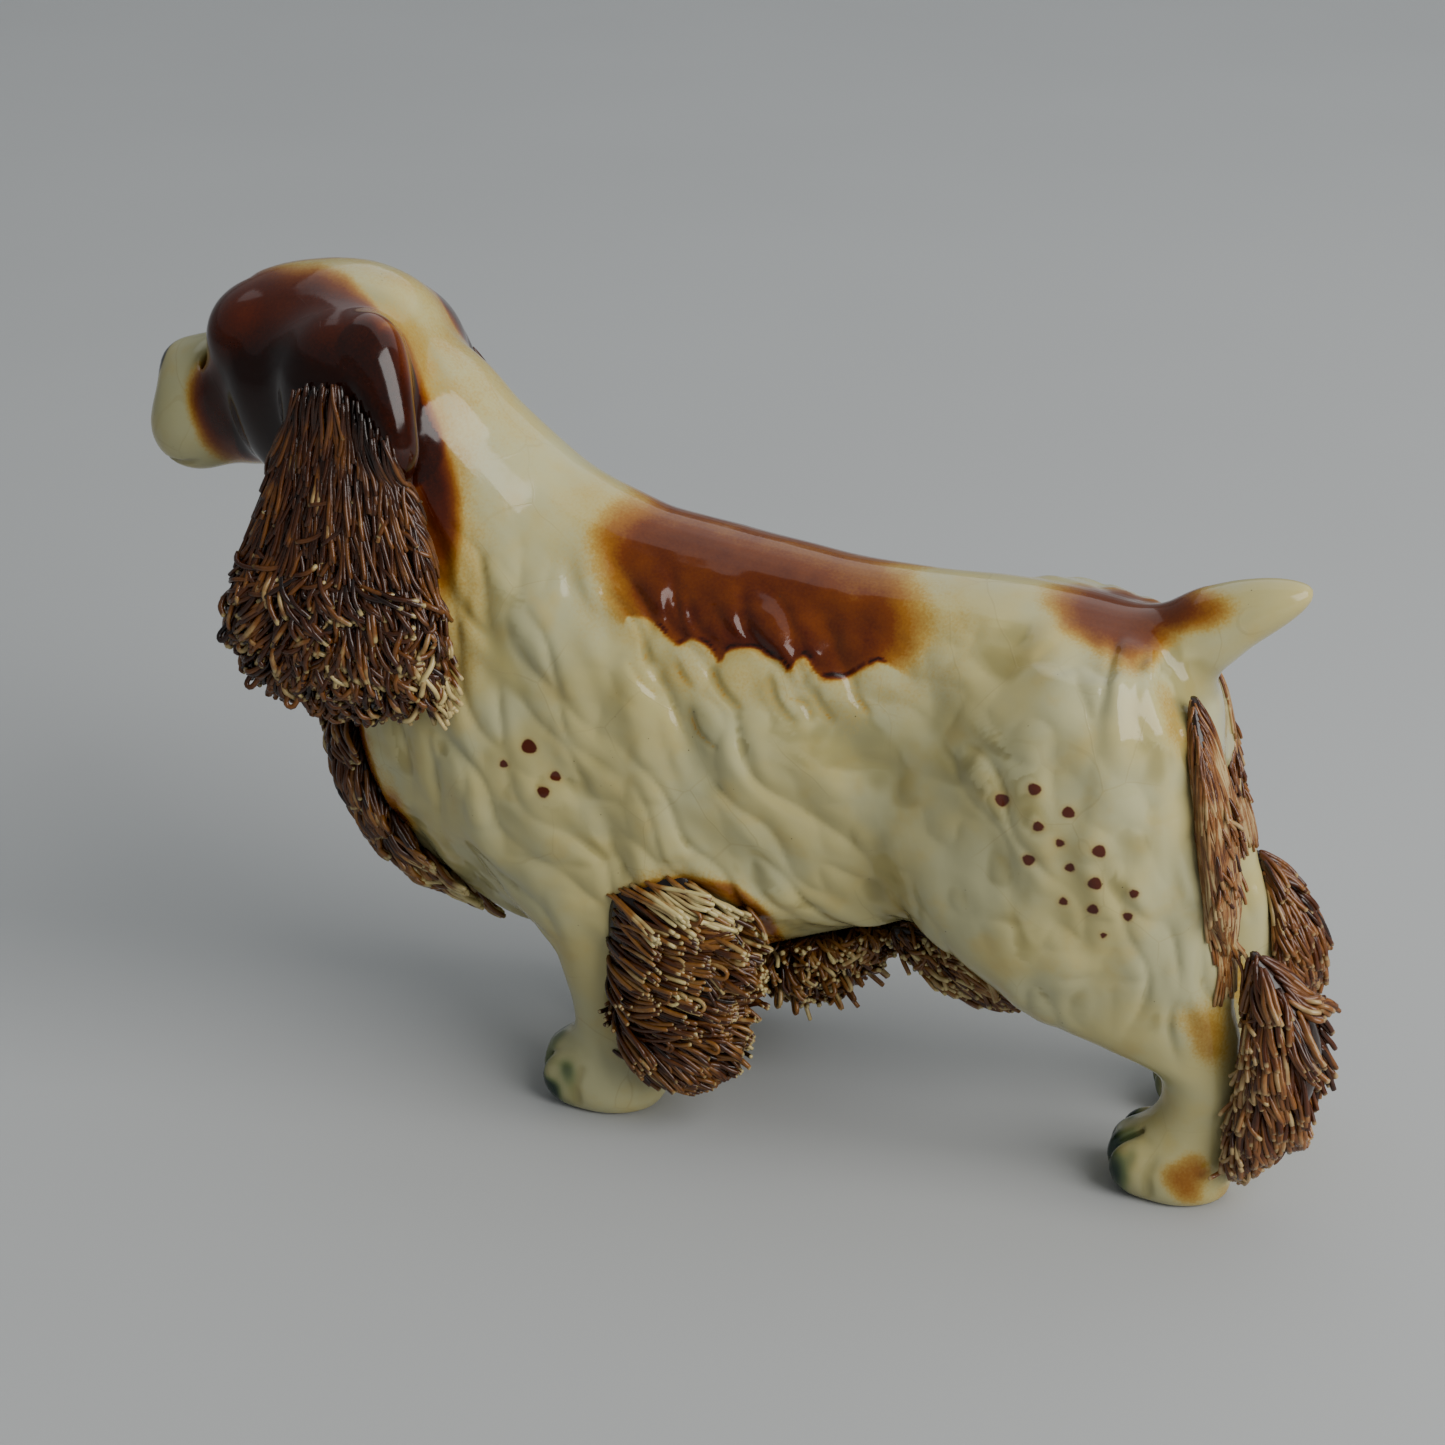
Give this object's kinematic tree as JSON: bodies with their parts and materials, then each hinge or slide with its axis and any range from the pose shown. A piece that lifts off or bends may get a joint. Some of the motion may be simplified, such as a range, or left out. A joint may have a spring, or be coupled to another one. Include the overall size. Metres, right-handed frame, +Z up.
{
  "type": "ceramic dog figurine",
  "caption": "Standing long-eared glazed ceramic dog with soft airbrushed patches and applied clay-strand fringe on ears, chest, belly and legs.",
  "frame": {"origin": "middle of the bounding box on the ground that the soles stand on", "axes": "+Z up; the dog faces -Y; its left side is +X"},
  "size_m": [0.0998, 0.306, 0.2106],
  "materials": {
    "cream_glaze": "glossy cream glaze with greenish pooling, fine crazing and airbrushed brown patches",
    "brown_glaze": "glossy dark brown glaze fading to ochre and cream",
    "strand_glaze": "glossy brown glaze over extruded strands, worn to cream at the tips"
  },
  "bodies": {
    "root": {"torso": "cream_glaze", "head": "brown_glaze", "tail": "cream_glaze", "left_ear": "brown_glaze", "right_ear": "brown_glaze", "left_fore_leg": "cream_glaze", "right_fore_leg": "cream_glaze", "left_hind_leg": "cream_glaze", "right_hind_leg": "cream_glaze", "left_ear_upper_fringe": "strand_glaze", "right_ear_upper_fringe": "strand_glaze", "left_ear_lower_fringe": "strand_glaze", "right_ear_lower_fringe": "strand_glaze", "chest_fringe": "strand_glaze", "belly_fringe": "strand_glaze", "left_fore_leg_fringe": "strand_glaze", "right_fore_leg_fringe": "strand_glaze", "left_flank_fringe": "strand_glaze", "right_flank_fringe": "strand_glaze", "left_thigh_fringe": "strand_glaze", "right_thigh_fringe": "strand_glaze", "left_hock_fringe": "strand_glaze", "right_hock_fringe": "strand_glaze"}
  },
  "joints": []
}
